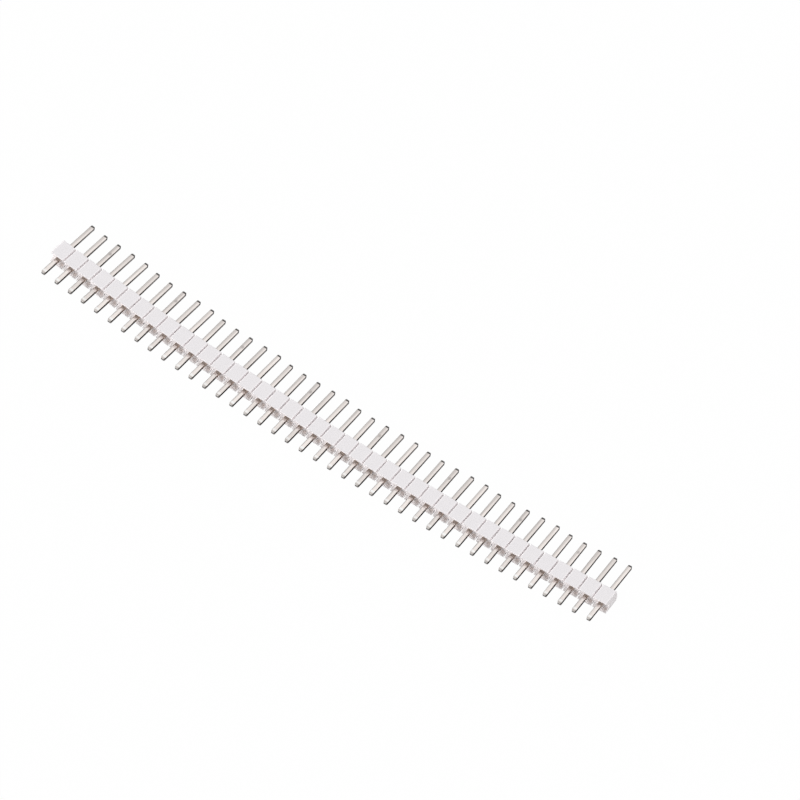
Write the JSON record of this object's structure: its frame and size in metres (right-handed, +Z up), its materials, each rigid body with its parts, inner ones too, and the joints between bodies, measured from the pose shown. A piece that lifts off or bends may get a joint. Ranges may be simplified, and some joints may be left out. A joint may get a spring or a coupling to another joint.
{
  "type": "pin header strip",
  "caption": "Straight single-row pin header strip: a white snap-apart insulator with square tin-plated contacts pressed through it.",
  "frame": {"origin": "bottom centre of the box round the strip as it lies on a side face of the insulator", "axes": "+X along the row, +Y towards the mating ends, -Y towards the solder tails, +Z up from the side face it lies on"},
  "size_m": [0.1016, 0.0137, 0.0023],
  "materials": {
    "insulator": "satin moulded",
    "contact": "bright tin plate, drawn along its length"
  },
  "bodies": {
    "root": {"housing": "insulator", "pin_01": "contact", "pin_02": "contact", "pin_03": "contact", "pin_04": "contact", "pin_05": "contact", "pin_06": "contact", "pin_07": "contact", "pin_08": "contact", "pin_09": "contact", "pin_10": "contact", "pin_11": "contact", "pin_12": "contact", "pin_13": "contact", "pin_14": "contact", "pin_15": "contact", "pin_16": "contact", "pin_17": "contact", "pin_18": "contact", "pin_19": "contact", "pin_20": "contact", "pin_21": "contact", "pin_22": "contact", "pin_23": "contact", "pin_24": "contact", "pin_25": "contact", "pin_26": "contact", "pin_27": "contact", "pin_28": "contact", "pin_29": "contact", "pin_30": "contact", "pin_31": "contact", "pin_32": "contact", "pin_33": "contact", "pin_34": "contact", "pin_35": "contact", "pin_36": "contact", "pin_37": "contact", "pin_38": "contact", "pin_39": "contact", "pin_40": "contact"}
  },
  "joints": []
}
